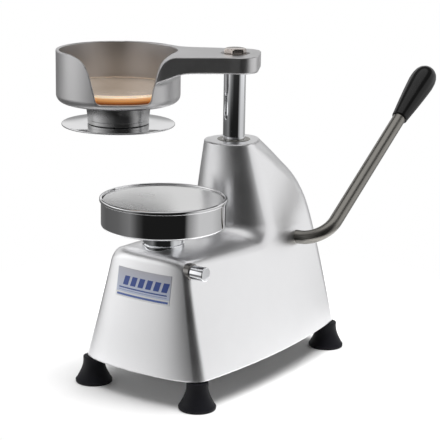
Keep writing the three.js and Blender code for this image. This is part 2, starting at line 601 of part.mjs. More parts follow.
// ---- Neck, press plate and their screws -------------------------------------------------------
const PLATE_R = 49.3;
const PLATE_TOP = PLATE_BOTTOM + 1.5;
const neckOutside = turned([
  [0, PLATE_TOP + GAP], [26.6, PLATE_TOP + GAP], [26.9, 214], [27.6, 221], [28.6, CUP_BOTTOM - GAP],
  [0, CUP_BOTTOM - GAP],
], 36).translate(0, -SWING_RADIUS, 0);
const neckCuts = [
  rod(4 + GAP, 200, 222, 20).translate(0, -SWING_RADIUS, 0),
  ...NECK_SCREWS.map(([x, y]) => rod(SCREW_R + GAP, 213.5, 240, 12).translate(x, y, 0)),
];
addPiece(head, "press_neck", cutFrom(toSolid(neckOutside), ...neckCuts), turnedAluminium);
const pressPlate = turned([
  [8.3, PLATE_BOTTOM], [PLATE_R - 0.5, PLATE_BOTTOM], [PLATE_R, PLATE_BOTTOM + 0.5],
  [PLATE_R, PLATE_TOP], [4.6, PLATE_TOP], [4.6, PLATE_TOP - 0.3], [8.3, PLATE_BOTTOM],
], 40).translate(0, -SWING_RADIUS, 0);
addPiece(head, "press_plate", pressPlate, stainless);
const plateScrew = turned([
  [0, PLATE_BOTTOM], [7.6, PLATE_BOTTOM], [4.1, PLATE_TOP - 0.5], [4, PLATE_TOP], [4, 221], [0, 221],
], 16).translate(0, -SWING_RADIUS, 0);
addPiece(head, "plate_screw", plateScrew, stainless);
NECK_SCREWS.forEach(([x, y], i) => {
  const screw = turned([
    [0, 214], [SCREW_R, 214], [SCREW_R, CUP_FLOOR - 2.2], [4.6, CUP_FLOOR - 2.2], [4.6, CUP_FLOOR], [0, CUP_FLOOR],
  ], 14);
  addPiece(head, `neck_screw_${i + 1}`, screw.translate(x, y, 0), zincSteel);
});

// ---- Stack of film discs in the cup -----------------------------------------------------------
const discs = turned([
  [0, CUP_FLOOR + GAP], [46.2, CUP_FLOOR + GAP], [48.6, 235], [48.8, DISC_TOP], [0, DISC_TOP],
], 32).translate(0, -SWING_RADIUS, 0);
addPiece(head, "film_disc_stack", discs, filmDiscs);

// ---- Centre the footprint ---------------------------------------------------------------------
const bounds = new THREE.Box3().setFromObject(press, true);
const middle = bounds.getCenter(new THREE.Vector3());
press.position.set(-middle.x, -middle.y, 0);

export default press;
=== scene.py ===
"""Looks of a hand-operated patty press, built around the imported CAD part.

Shapes are written in millimetres in the press's own drawing frame: the swing column stands on the Z axis,
the lever is on the +X side, the front is -Y and the feet stand on z = 0. SHIFT takes that frame to the row frame.
"""

import math

import bpy
import numpy as np
from mathutils import Matrix, Vector


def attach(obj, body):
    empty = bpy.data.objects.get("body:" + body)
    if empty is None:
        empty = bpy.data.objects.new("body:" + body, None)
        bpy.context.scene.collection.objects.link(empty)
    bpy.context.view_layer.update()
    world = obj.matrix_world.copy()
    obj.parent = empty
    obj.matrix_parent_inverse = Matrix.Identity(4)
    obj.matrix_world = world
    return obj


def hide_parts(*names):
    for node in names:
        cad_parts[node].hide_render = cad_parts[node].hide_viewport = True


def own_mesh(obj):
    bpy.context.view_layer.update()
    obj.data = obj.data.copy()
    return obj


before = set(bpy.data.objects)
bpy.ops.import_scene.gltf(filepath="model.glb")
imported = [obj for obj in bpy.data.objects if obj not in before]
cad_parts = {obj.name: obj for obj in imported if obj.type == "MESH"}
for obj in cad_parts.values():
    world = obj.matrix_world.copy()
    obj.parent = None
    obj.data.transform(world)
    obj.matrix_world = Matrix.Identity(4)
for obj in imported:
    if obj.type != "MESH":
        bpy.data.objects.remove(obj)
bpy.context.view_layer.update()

SHIFT = np.array([30.1019, -36.1986, 0.0])
SWING_RADIUS = 101.0
REST_SWING = math.radians(-61.0)
DISCS_LOW, DISCS_HIGH = 231.9, 239.5
CAMERA_BEARING = math.radians(34.65)


# ---- Materials ---------------------------------------------------------------------------------
def new_material(name, colour, metallic, roughness, **sockets):
    material = bpy.data.materials.new(name)
    material.use_nodes = True
    shader = material.node_tree.nodes["Principled BSDF"]
    shader.inputs["Base Color"].default_value = (*colour, 1.0)
    shader.inputs["Metallic"].default_value = metallic
    shader.inputs["Roughness"].default_value = roughness
    for key, value in sockets.items():
        shader.inputs[key.replace("_", " ")].default_value = value
    return material


def add_noise(material, scale, detail, stretch=(1, 1, 1)):
    """Noise in the object's own coordinates, in metres, stretched along an axis for a grain."""
    nodes, links = material.node_tree.nodes, material.node_tree.links
    coord = nodes.new("ShaderNodeTexCoord")
    mapping = nodes.new("ShaderNodeMapping")
    mapping.inputs["Scale"].default_value = stretch
    noise = nodes.new("ShaderNodeTexNoise")
    noise.inputs["Scale"].default_value = scale
    noise.inputs["Detail"].default_value = detail
    links.new(coord.outputs["Object"], mapping.inputs["Vector"])
    links.new(mapping.outputs["Vector"], noise.inputs["Vector"])
    return noise


def ramp(material, source, stops, socket):
    """Maps a factor through colour stops onto one of the shader's sockets."""
    nodes, links = material.node_tree.nodes, material.node_tree.links
    node = nodes.new("ShaderNodeValToRGB")
    elements = node.color_ramp.elements
    while len(elements) < len(stops):
        elements.new(0.5)
    for element, (position, colour) in zip(elements, stops):
        element.position = position
        element.color = (*colour, 1.0)
    links.new(source, node.inputs["Fac"])
    links.new(node.outputs["Color"], nodes["Principled BSDF"].inputs[socket])


def spread(material, source, low, high):
    """Lets a noise move the roughness between two values."""
    nodes, links = material.node_tree.nodes, material.node_tree.links
    node = nodes.new("ShaderNodeMapRange")
    node.inputs["From Min"].default_value = 0.3
    node.inputs["From Max"].default_value = 0.7
    node.inputs["To Min"].default_value = low
    node.inputs["To Max"].default_value = high
    links.new(source, node.inputs["Value"])
    links.new(node.outputs["Result"], nodes["Principled BSDF"].inputs["Roughness"])


def bump(material, source, strength, distance):
    nodes, links = material.node_tree.nodes, material.node_tree.links
    node = nodes.new("ShaderNodeBump")
    node.inputs["Strength"].default_value = strength
    node.inputs["Distance"].default_value = distance
    links.new(source, node.inputs["Height"])
    links.new(node.outputs["Normal"], nodes["Principled BSDF"].inputs["Normal"])


CLOUD_SCALE = 18.0


def metal(name, colour, roughness, grain, scale, depth, strength):
    """A bare metal: fine polishing grain in the bump, patchy roughness and a faint tint variation."""
    material = new_material(name, colour, 1.0, roughness)
    fine = add_noise(material, scale, 3.0, grain)
    cloudy = add_noise(material, CLOUD_SCALE, 3.0)
    spread(material, cloudy.outputs["Fac"], roughness * 0.85, roughness * 1.18)
    dark = tuple(c * 0.965 for c in colour)
    light = tuple(min(c * 1.03, 1.0) for c in colour)
    ramp(material, cloudy.outputs["Fac"], [(0.3, dark), (0.7, light)], "Base Color")
    bump(material, fine.outputs["Fac"], strength, depth)
    return material


cast_aluminium = metal("cast_aluminium", (0.86, 0.86, 0.87), 0.33, (1, 1, 6), 1400.0, 0.00002, 0.3)
head_aluminium = metal("head_aluminium", (0.68, 0.675, 0.68), 0.36, (1, 1, 9), 1500.0, 0.00002, 0.25)
turned_aluminium = metal("turned_aluminium", (0.42, 0.42, 0.42), 0.26, (1, 1, 14), 1300.0, 0.00001, 0.2)
polished_steel = metal("polished_steel", (0.82, 0.82, 0.83), 0.055, (1, 1, 10), 1200.0, 0.000004, 0.1)
satin_plate = metal("satin_plate", (0.84, 0.84, 0.84), 0.24, (9, 1, 1), 1000.0, 0.00001, 0.2)
chrome = metal("chrome", (0.86, 0.87, 0.89), 0.035, (1, 1, 6), 900.0, 0.000003, 0.08)
satin_steel = metal("satin_steel", (0.27, 0.26, 0.24), 0.30, (5, 1, 1), 1500.0, 0.00002, 0.3)
bolt_steel = metal("bolt_steel", (0.60, 0.54, 0.50), 0.16, (1, 1, 4), 1200.0, 0.00001, 0.2)
zinc_steel = metal("zinc_steel", (0.62, 0.61, 0.58), 0.34, (1, 1, 1), 700.0, 0.00002, 0.3)
bronze = metal("bronze", (0.62, 0.45, 0.20), 0.30, (1, 1, 8), 900.0, 0.00002, 0.3)
spring_steel = metal("spring_steel", (0.28, 0.27, 0.26), 0.32, (1, 1, 1), 800.0, 0.00002, 0.3)

black_rubber = new_material("black_rubber", (0.006, 0.006, 0.008), 0.0, 0.55, Specular_IOR_Level=0.22)
rubber_grain = add_noise(black_rubber, 1500.0, 6.0)
bump(black_rubber, rubber_grain.outputs["Fac"], 0.35, 0.00008)
rubber_cloud = add_noise(black_rubber, 60.0, 3.0)
spread(black_rubber, rubber_cloud.outputs["Fac"], 0.5, 0.72)
ramp(
    black_rubber, rubber_cloud.outputs["Fac"], [(0.3, (0.004, 0.004, 0.006)), (0.7, (0.008, 0.008, 0.011))],
    "Base Color",
)

black_plastic = new_material("black_plastic", (0.003, 0.003, 0.003), 0.0, 0.14, Specular_IOR_Level=0.3)
plastic_cloud = add_noise(black_plastic, 45.0, 3.0)
spread(black_plastic, plastic_cloud.outputs["Fac"], 0.11, 0.18)
ramp(
    black_plastic, plastic_cloud.outputs["Fac"], [(0.3, (0.002, 0.002, 0.002)), (0.7, (0.005, 0.005, 0.005))],
    "Base Color",
)
plastic_grain = add_noise(black_plastic, 500.0, 3.0)
bump(black_plastic, plastic_grain.outputs["Fac"], 0.12, 0.00002)


def height_factor(material, low, high):
    """0 at one height and 1 at another, in millimetres above the table."""
    nodes, links = material.node_tree.nodes, material.node_tree.links
    coord = nodes.new("ShaderNodeTexCoord")
    split = nodes.new("ShaderNodeSeparateXYZ")
    node = nodes.new("ShaderNodeMapRange")
    node.inputs["From Min"].default_value = low / 1000
    node.inputs["From Max"].default_value = high / 1000
    links.new(coord.outputs["Object"], split.inputs["Vector"])
    links.new(split.outputs["Z"], node.inputs["Value"])
    return node.outputs["Result"]


film_edge = new_material(
    "film_edge", (0.80, 0.42, 0.12), 0.0, 0.22, Subsurface_Weight=0.25, Coat_Weight=0.5, Coat_Roughness=0.1
)
film_shader = film_edge.node_tree.nodes["Principled BSDF"]
film_shader.inputs["Subsurface Radius"].default_value = (0.004, 0.002, 0.0008)
# The film's own amber with painted light on the stack's edge: painted shade at the foot, brighter amber above as if lit
# through the sheets, and a pale painted highlight near the top.
FILM_AMBER_AND_PAINTED_LIGHT_STOPS = [
    (0.0, (0.22, 0.06, 0.015)), (0.2, (0.50, 0.19, 0.05)), (0.45, (0.74, 0.38, 0.13)), (0.66, (0.88, 0.56, 0.30)),
    (0.8, (0.97, 0.86, 0.70)), (0.92, (0.97, 0.86, 0.70)), (1.0, (0.72, 0.55, 0.42)),
]
# The same stops also drive a faint emission: a painted glow for light passing through the film.
ramp(film_edge, height_factor(film_edge, DISCS_LOW, DISCS_HIGH), FILM_AMBER_AND_PAINTED_LIGHT_STOPS, "Emission Color")
film_shader.inputs["Emission Strength"].default_value = 0.42
ramp(film_edge, height_factor(film_edge, DISCS_LOW, DISCS_HIGH), FILM_AMBER_AND_PAINTED_LIGHT_STOPS, "Base Color")
film_layers = add_noise(film_edge, 260.0, 4.0, (1, 1, 12))
bump(film_edge, film_layers.outputs["Fac"], 0.3, 0.00012)

film_top = new_material("film_top", (0.28, 0.23, 0.18), 0.0, 0.26, Coat_Weight=0.4, Coat_Roughness=0.15)
film_cloud = add_noise(film_top, 28.0, 4.0)
ramp(film_top, film_cloud.outputs["Fac"], [(0.3, (0.22, 0.175, 0.135)), (0.7, (0.31, 0.25, 0.20))], "Base Color")
film_crinkle = add_noise(film_top, 120.0, 5.0)
bump(film_top, film_crinkle.outputs["Fac"], 0.2, 0.0002)


# ---- Mesh helpers ------------------------------------------------------------------------------
def to_rest(vectors):
    """Turns the head's own points or directions to where the head stands at rest."""
    c, s = math.cos(REST_SWING), math.sin(REST_SWING)
    turned = vectors.copy()
    turned[:, 0] = c * vectors[:, 0] - s * vectors[:, 1]
    turned[:, 1] = s * vectors[:, 0] + c * vectors[:, 1]
    return turned


def place(points, in_head=False):
    """Drawing millimetres to row-frame metres."""
    points = np.asarray(points, float)
    return ((to_rest(points) if in_head else points) + SHIFT) * 0.001


def add_piece(name, points, faces, material, body, replaced, slot, in_head=False, sharp=32.0):
    """A visible piece, smooth except where two faces meet at more than sharp degrees."""
    mesh = bpy.data.meshes.new(name)
    mesh.from_pydata(place(points, in_head).tolist(), [], faces)
    mesh.validate()
    mesh.polygons.foreach_set("use_smooth", [True] * len(mesh.polygons))
    mesh.set_sharp_from_angle(angle=math.radians(sharp))
    piece = bpy.data.objects.new(name, mesh)
    bpy.context.scene.collection.objects.link(piece)
    materials = material if isinstance(material, (list, tuple)) else [material]
    for entry in materials:
        mesh.materials.append(entry)
    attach(piece, body)
    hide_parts(*replaced)
    return piece


def arc(r, z, radius, start, end, steps=8):
    """Points of a round corner, angles in degrees."""
    angles = np.radians(np.linspace(start, end, steps + 1))
    return [(r + radius * math.cos(a), z + radius * math.sin(a)) for a in angles]


def lathe(profile, segments=128, centre=(0.0, 0.0)):
    """A body of revolution about a vertical axis. A profile that starts and ends off the axis is closed."""
    rings, points, faces = [], [], []
    for r, z in profile:
        if r < 1e-6:
            rings.append([len(points)])
            points.append((centre[0], centre[1], z))
            continue
        first = len(points)
        for i in range(segments):
            a = 2 * math.pi * i / segments
            points.append((centre[0] + r * math.cos(a), centre[1] + r * math.sin(a), z))
        rings.append(list(range(first, first + segments)))
    closed = profile[0][0] > 1e-6 and profile[-1][0] > 1e-6
    pairs = list(zip(rings, rings[1:] + rings[:1] if closed else rings[1:]))
    for low, high in pairs:  # a ring on the axis is a single point
        for i in range(segments):
            j = (i + 1) % segments
            if len(low) == 1 and len(high) > 1:
                faces.append((low[0], high[j], high[i]))
            elif len(high) == 1 and len(low) > 1:
                faces.append((low[i], low[j], high[0]))
            elif len(low) > 1 and len(high) > 1:
                faces.append((low[i], low[j], high[j], high[i]))
    return np.array(points), faces


def turn_to(points, origin, direction):
    """Takes a piece made about Z to an axis through origin, in drawing millimetres."""
    rotation = Vector((0, 0, 1)).rotation_difference(Vector(direction)).to_matrix()
    return np.asarray(points) @ np.array(rotation).T + np.array(origin)


def round_max(a, b, r):
    """Both of two solids, with a round edge of radius r where they meet."""
    inner = np.minimum(-r, np.maximum(a, b))
    return inner + np.hypot(np.maximum(a + r, 0.0), np.maximum(b + r, 0.0))


def round_min(a, b, r):
    """Either of two solids, with a round hollow of radius r where they meet."""
    return -round_max(-a, -b, r)


def smooth_table(table):
    """A smooth curve through [position, value] pairs, with no overshoot."""
    xs, ys = np.array(table, float).T
    h = np.diff(xs)
    d = np.diff(ys) / h
    slope = np.zeros_like(xs)
    slope[0], slope[-1] = d[0], d[-1]
    for i in range(1, len(xs) - 1):
        if d[i - 1] * d[i] > 0:
            w1, w2 = 2 * h[i] + h[i - 1], h[i] + 2 * h[i - 1]
            slope[i] = (w1 + w2) / (w1 / d[i - 1] + w2 / d[i])

    def value(x):
        x = np.clip(x, xs[0], xs[-1])
        i = np.clip(np.searchsorted(xs, x, side="right") - 1, 0, len(xs) - 2)
        t = (x - xs[i]) / h[i]
        t2, t3 = t * t, t * t * t
        return (
            (2 * t3 - 3 * t2 + 1) * ys[i]
            + (t3 - 2 * t2 + t) * h[i] * slope[i]
            + (3 * t2 - 2 * t3) * ys[i + 1]
            + (t3 - t2) * h[i] * slope[i + 1]
        )

    return value


GRADIENT_STEP = 0.04
MOVE_ROUNDS, EVEN_ROUNDS, EVEN_SHARE = 6, (1, 2, 3), 0.55


def gradient(field, points):
    result = np.empty_like(points)
    for axis in range(3):
        shift = np.zeros(3)
        shift[axis] = GRADIENT_STEP
        result[:, axis] = (field(*(points + shift).T) - field(*(points - shift).T)) / (2 * GRADIENT_STEP)
    return result


def surface_of(field, low, high, cell):
    """Closed quad mesh of field = 0 in a box, by surface nets: one vertex in each cell that the surface crosses,
    then evened out among its neighbours in some rounds and moved onto the surface in all of them."""
    axes = [np.arange(low[k], high[k] + cell, cell) for k in range(3)]
    shape = tuple(len(a) for a in axes)
    values = field(*np.meshgrid(*axes, indexing="ij")).astype(np.float32)
    inside = values < 0
    corners = [(i, j, k) for i in (0, 1) for j in (0, 1) for k in (0, 1)]

    def block(array, corner):
        return array[tuple(slice(c, n - 1 + c) for c, n in zip(corner, shape))]

    count = sum(block(inside, c).astype(np.int8) for c in corners)
    mixed = (count > 0) & (count < 8)
    index = np.full(mixed.shape, -1, np.int64)
    index[mixed] = np.arange(mixed.sum())
    cells = np.argwhere(mixed)
    total = np.zeros((len(cells), 3))
    crossings = np.zeros(len(cells))
    for a in corners:
        for axis in range(3):
            if a[axis]:
                continue
            b = tuple(1 if k == axis else a[k] for k in range(3))
            va = values[tuple((cells + a).T)]
            vb = values[tuple((cells + b).T)]
            cut = (va < 0) != (vb < 0)
            t = np.where(cut, va / np.where(cut, va - vb, 1.0), 0.0)
            spot = np.tile(np.array(a, float), (len(cells), 1))
            spot[:, axis] = t
            total += spot * cut[:, None]
            crossings += cut
    points = np.array([a[0] for a in axes]) + (cells + total / crossings[:, None]) * cell
    faces = []
    for axis in range(3):
        u, v = [k for k in range(3) if k != axis]
        first = inside[tuple(slice(0, n - 1) if k == axis else slice(1, n - 1) for k, n in enumerate(shape))]
        second = inside[tuple(slice(1, n) if k == axis else slice(1, n - 1) for k, n in enumerate(shape))]
        flips = np.argwhere(first != second)
        outward = first[tuple(flips.T)]
        base = flips.copy()
        base[:, u] += 1
        base[:, v] += 1
        quad = []
        for du, dv in ((0, 0), (1, 0), (1, 1), (0, 1)):
            spot = base.copy()
            spot[:, u] -= du
            spot[:, v] -= dv
            quad.append(index[tuple(spot.T)])
        quad = np.stack(quad, 1)
        keep = outward if axis != 1 else ~outward
        quad[~keep] = quad[~keep][:, ::-1]
        faces.append(quad)
    faces = np.concatenate(faces)
    near = np.concatenate([faces[:, [0, 1]], faces[:, [1, 2]], faces[:, [2, 3]], faces[:, [3, 0]]])
    degree = np.bincount(near[:, 0], minlength=len(points))[:, None]
    for turn in range(MOVE_ROUNDS):
        if turn in EVEN_ROUNDS:
            middle = [np.bincount(near[:, 0], points[near[:, 1], k], len(points)) for k in range(3)]
            points = (1 - EVEN_SHARE) * points + EVEN_SHARE * np.stack(middle, 1) / degree
        slope = gradient(field, points)
        length = np.maximum((slope**2).sum(1), 0.05)
        move = -slope * (field(*points.T) / length)[:, None]
        reach = np.linalg.norm(move, axis=1)
        points = points + move * np.minimum(1.0, 0.5 * cell / np.maximum(reach, 1e-9))[:, None]
    return points, faces


def add_surface(name, field, low, high, cell, material, body, replaced, slot, in_head=False):
    """A piece whose shading normals come from the exact surface."""
    points, faces = surface_of(field, low, high, cell)
    piece = add_piece(name, points, faces.tolist(), material, body, replaced, slot, in_head, 180.0)
    normals = gradient(field, points)
    normals /= np.maximum(np.linalg.norm(normals, axis=1), 1e-9)[:, None]
    if in_head:
        normals = to_rest(normals)
    if len(piece.data.vertices) == len(normals):
        piece.data.normals_split_custom_set_from_vertices(normals.tolist())


# ---- Housing: each table gives a measure of the body against height ------------------------------
BODY_BOTTOM, BODY_TOP, WALL = 23.0, 197.0, 4.0
FRONT_END, BODY_LENGTH = -135.0, 222.0
DECK_FRONT, DECK_HEIGHT, DECK_SLOPE = -116.0, 122.3, 0.012
DECK_EDGE, TOWER_HOLLOW, SIDE_EDGE, TOP_EDGE, LIP_EDGE, INNER_EDGE = 8.0, 11.0, 2.6, 1.5, 1.8, 0.4
# The tower's round front meets the side walls this share of the way back, standing a little proud of them.
TOWER_ALONG, TOWER_PROUD = 0.6, 0.6
# Cosines of how far each wall leans, so that the fields measure nearly true distances.
SIDE_LEAN, FRONT_LEAN, DECK_LEAN = 0.975, 0.985, 0.97
front_half = smooth_table([[23, 59.3], [70, 47.6], [116, 37.6], [197, 24.5]])
rear_half = smooth_table([[23, 57.5], [110, 41], [197, 24.5]])
side_bow = smooth_table([[23, 10], [111, 4], [197, 0]])
front_line = smooth_table([[23, -141], [111, -127.6], [125, -125.4]])
rear_line = smooth_table([
    [23, 92.5], [47, 90], [91, 85], [106, 83], [124, 80], [139, 76], [153, 69], [164, 61], [175, 50], [187, 37.5],
    [197, 26],
])
front_bow = smooth_table([[23, 11.5], [111, 6], [130, 5]])
front_corner = smooth_table([[23, 5.5], [111, 4], [130, 4]])
tower_front = smooth_table([[118, -29.6], [157, -28], [197, -25.7]])
rear_corner = smooth_table([[23, 12], [150, 16], [180, 22], [197, 25]])


def half_width(z, along):
    """Half the body's width at a share of the way from front to rear; the side walls bow outwards."""
    return front_half(z) * (1 - along) + rear_half(z) * along + 4 * side_bow(z) * along * (1 - along)


def housing_outside(x, y, z):
    """The body's outer skin: a tapered box whose front part is cut down to the deck, leaving the round tower."""
    across = np.abs(x)
    along = np.clip((y - FRONT_END) / BODY_LENGTH, -0.1, 1.1)
    half = half_width(z, along)
    sides = (across - half) * SIDE_LEAN
    share = (x / 60.0) ** 2
    rear_slope = (rear_line(z + 1.0) - rear_line(z - 1.0)) / 2.0
    rear = (y - rear_line(z) + 5.0 * share * (60.0 / np.maximum(half, 20.0)) ** 2) / np.sqrt(1 + rear_slope**2)
    part = across / np.maximum(front_half(z), 20.0)
    front = (front_line(z) + front_bow(z) * (0.55 * part**2 + 0.45 * part**5) - y) * FRONT_LEAN
    crown = 0.0006 * x * x + 4.2 * (across / 38.0) ** 5
    deck = (z - DECK_HEIGHT + DECK_SLOPE * (y - DECK_FRONT) + crown) * DECK_LEAN
    tower_round = half_width(z, TOWER_ALONG) + TOWER_PROUD
    tower = np.hypot(x, np.minimum(y - tower_front(z) - tower_round, 0.0)) - tower_round
    top = round_min(round_max(front, deck, DECK_EDGE), tower, TOWER_HOLLOW)
    blend = np.clip((y + 118.0) / 16.0, 0.0, 1.0)
    edge = front_corner(z) * (1 - blend) + SIDE_EDGE * blend
    walls = round_max(sides, rear, rear_corner(z))
    return round_max(round_max(walls, top, edge), z - BODY_TOP, TOP_EDGE)


def housing(x, y, z):
    """The body as a shell that is open below."""
    outside = housing_outside(x, y, z)
    shell = round_max(outside, -(outside + WALL), INNER_EDGE)
    return round_max(shell, BODY_BOTTOM - z, LIP_EDGE)


add_surface(
    "housing_body", housing, (-76, -150, 20), (76, 102, 201), 1.35,
    cast_aluminium, "housing", ["housing_casting"], "cast_aluminium",
)

bush_top = [
    (10.0, 196.2), (10.0, 178.0), (14.3, 178.0), (14.3, 196.9), *arc(13.8, 196.9, 0.5, 0, 90, 4),
    *arc(10.5, 196.9, 0.5, 90, 180, 4),
]
add_piece("column_top_bush", *lathe(bush_top, 96), satin_steel, "housing", ["upper_column_bush"], "bronze")

# ---- Label: plain silver foil with blue bars, and no lettering -----------------------------------
LABEL_X, LABEL_Z = (-26, 28), (83, 107)
LABEL_LIFT, LABEL_THICK = 0.45, 0.35
LABEL_COLUMNS, LABEL_ROWS = 56, 26
label_foil = new_material("label_foil", (0.72, 0.75, 0.83), 0.35, 0.34, Coat_Weight=0.4, Coat_Roughness=0.12)


def paint_label(material):
    """Bars in the label's own coordinates, 0 to 1 across and up."""
    nodes, links = material.node_tree.nodes, material.node_tree.links
    shader = nodes["Principled BSDF"]
    coord = nodes.new("ShaderNodeTexCoord")
    split = nodes.new("ShaderNodeSeparateXYZ")
    links.new(coord.outputs["UV"], split.inputs["Vector"])

    def inside(u0, u1, v0, v1, lean):
        """1 in a bar and 0 outside it; a bar may lean."""
        tests = []
        for axis, low, high in (("X", u0, u1), ("Y", v0, v1)):
            for limit, kind in ((low, "GREATER_THAN"), (high, "LESS_THAN")):
                node = nodes.new("ShaderNodeMath")
                node.operation = kind
                node.inputs[1].default_value = limit
                if axis == "X" and lean:
                    tilt = nodes.new("ShaderNodeMath")
                    tilt.operation = "MULTIPLY_ADD"
                    tilt.inputs[1].default_value = -lean
                    links.new(split.outputs["Y"], tilt.inputs[0])
                    links.new(split.outputs["X"], tilt.inputs[2])
                    links.new(tilt.outputs[0], node.inputs[0])
                else:
                    links.new(split.outputs[axis], node.inputs[0])
                tests.append(node.outputs[0])
        while len(tests) > 1:
            node = nodes.new("ShaderNodeMath")
            node.operation = "MULTIPLY"
            links.new(tests.pop(), node.inputs[0])
            links.new(tests.pop(), node.inputs[1])
            tests.append(node.outputs[0])
        return tests[0]

    fade = nodes.new("ShaderNodeValToRGB")
    fade.color_ramp.elements[0].color = (0.62, 0.68, 0.84, 1.0)
    fade.color_ramp.elements[1].color = (0.60, 0.60, 0.66, 1.0)
    fade.color_ramp.elements[0].position = 0.25
    links.new(split.outputs["Y"], fade.inputs["Fac"])
    colour = fade.outputs["Color"]
    marks = [
        ((0.05, 0.95, 0.30, 0.345), (0.05, 0.10, 0.36), 0.0),
        ((0.05, 0.95, 0.235, 0.25), (0.16, 0.22, 0.48), 0.0),
    ]
    for i in range(6):
        left = 0.07 + 0.145 * i
        marks.append(((left, left + 0.10, 0.42, 0.74), (0.035, 0.08, 0.34), 0.12))
    marks.append(((0.0, 1.0, 0.0, 0.175), (0.86, 0.87, 0.89), 0.0))
    marks.append(((0.02, 0.98, 0.05, 0.12), (0.10, 0.17, 0.48), 0.0))
    for spot, paint, lean in marks:
        mix = nodes.new("ShaderNodeMix")
        mix.data_type = "RGBA"
        links.new(inside(*spot, lean), mix.inputs["Factor"])
        links.new(colour, mix.inputs["A"])
        mix.inputs["B"].default_value = (*paint, 1.0)
        colour = mix.outputs["Result"]
    links.new(colour, shader.inputs["Base Color"])


paint_label(label_foil)


def add_label():
    """A thin plate that follows the housing's front."""
    across, up = LABEL_COLUMNS, LABEL_ROWS
    xs, zs = np.meshgrid(np.linspace(*LABEL_X, across), np.linspace(*LABEL_Z, up), indexing="ij")
    x, z = xs.ravel(), zs.ravel()
    y = np.full_like(x, -140.0)
    for _ in range(25):
        y = y + (housing_outside(x, y, z) - LABEL_LIFT)
    front = np.stack([x, y, z], 1)
    back = front + [0, LABEL_THICK, 0]
    points = np.concatenate([front, back])
    faces, count = [], across * up
    for i in range(across - 1):
        for j in range(up - 1):
            a = i * up + j
            faces.append((a, a + up, a + up + 1, a + 1))
            faces.append((count + a, count + a + 1, count + a + up + 1, count + a + up))
    rim = (
        [i * up for i in range(across)]
        + [(across - 1) * up + j for j in range(1, up)]
        + [i * up + up - 1 for i in range(across - 2, -1, -1)]
        + [j for j in range(up - 2, 0, -1)]
    )
    for a, b in zip(rim, rim[1:] + rim[:1]):
        faces.append((a, count + a, count + b, b))
    piece = add_piece("label_plate", points, faces, label_foil, "housing", ["name_label"], "label_foil", False, 40.0)
    layer = piece.data.uv_layers.new(name="UVMap")
    for loop in piece.data.loops:
        k = loop.vertex_index % count
        layer.data[loop.index].uv = (
            (x[k] - LABEL_X[0]) / (LABEL_X[1] - LABEL_X[0]), (z[k] - LABEL_Z[0]) / (LABEL_Z[1] - LABEL_Z[0])
        )


add_label()

# ---- Feet --------------------------------------------------------------------------------------
FOOT_X, FOOT_FRONT, FOOT_REAR = 54, -125.6, 75.7
foot_profile = [
    (0, 4.5), (4.6, 4.5), (5.6, 3.4), (6.2, 0.4), (6.6, 0.0), (13.6, 0.0), *arc(14.6, 0.9, 0.9, -90, -20, 3),
    *arc(14.6, 2.0, 1.0, -10, 60, 4), (14.6, 3.4), (13.7, 5.2), (12.6, 7.2), (11.5, 9.4), (10.5, 11.8), (9.8, 14.0),
    (9.35, 15.8), (9.1, 17.6), (9.0, 19.0), (9.0, 22.1), *arc(8.5, 22.2, 0.5, 0, 90, 3), (0, 22.7),
]
for corner, spot in (
    ("front_right", (FOOT_X, FOOT_FRONT)), ("front_left", (-FOOT_X, FOOT_FRONT)),
    ("rear_right", (FOOT_X, FOOT_REAR)), ("rear_left", (-FOOT_X, FOOT_REAR)),
):
    foot = lathe(foot_profile, 72, spot)
    add_piece("rubber_" + corner, *foot, black_rubber, "housing", ["foot_" + corner], "black_rubber")

# ---- Bowl, collar and ejector plate --------------------------------------------------------------
BOWL = (0.0, -SWING_RADIUS)
bowl_profile = [
    (8.6, 106.0), (13.9, 106.0), (13.9, 139.9), *arc(48.9, 142.4, 2.5, -90, 0, 10), (51.4, 161.2),
    *arc(51.9, 161.9, 0.75, -120, -20, 5), *arc(51.7, 163.2, 0.98, 0, 90, 8), (51.3, 164.36),
    *arc(50.75, 163.85, 0.5, 80, 180, 5), (50.2, 143.4), *arc(48.2, 143.1, 2.0, 0, -90, 8), (8.6, 141.1),
]
add_piece("bowl_shell", *lathe(bowl_profile, 192, BOWL), polished_steel, "housing", ["bowl"], "polished_stainless")
collar_profile = [
    (14.2, 121.0), (17.4, 121.0), (17.4, 124.4), *arc(16.9, 125.4, 0.5, 0, 90, 4), (16.5, 126.2), (16.5, 138.6),
    *arc(15.7, 138.8, 0.8, 0, 90, 5), (14.2, 139.6),
]
add_piece("bowl_neck_collar", *lathe(collar_profile, 96, BOWL), chrome, "housing", ["bowl_collar"], "chrome")
eject_profile = [
    (0, 158.9), (5.3, 158.9), (5.3, 150), (8, 150), (8, 159.9), (49.0, 159.9), *arc(49.1, 160.5, 0.6, -90, 0, 5),
    *arc(48.8, 162.0, 0.9, 0, 90, 8), (46.0, 162.9), (30.0, 162.88), (12.0, 162.85), (0, 162.85),
]
add_piece(
    "ejector_top", *lathe(eject_profile, 160, BOWL), satin_plate, "ejector", ["ejector_plate"], "polished_stainless"
)

# ---- Lock pin ----------------------------------------------------------------------------------
PIN = (-115.5, 110.6)


def along_x(profile, y, z):
    """A body of revolution about an axis that runs to the right, its profile measured from x = 0."""
    points, faces = lathe(profile, 64)
    points = points[:, [2, 1, 0]] * [1, 1, -1]
    return points + [0, y, z], faces


pin_profile = [
    (0, 0), (2, 0), (3, 1), (3, 41.2), (5.4, 41.2), *arc(5.4, 41.8, 0.6, -90, 0, 4), *arc(5.2, 53.2, 0.8, 0, 90, 6),
    (0, 54),
]
add_piece("lock_pin_knob", *along_x(pin_profile, *PIN), chrome, "lock_pin", ["lock_pin"], "chrome")
pin_ring = [(3.3, 30.0), (6.9, 30.0), (6.9, 40.5), *arc(6.4, 40.6, 0.5, 0, 90, 4), (3.7, 41.0), (3.3, 40.6)]
add_piece("lock_pin_ring", *along_x(pin_ring, *PIN), spring_steel, "housing", ["lock_pin_bush"], "zinc_steel")

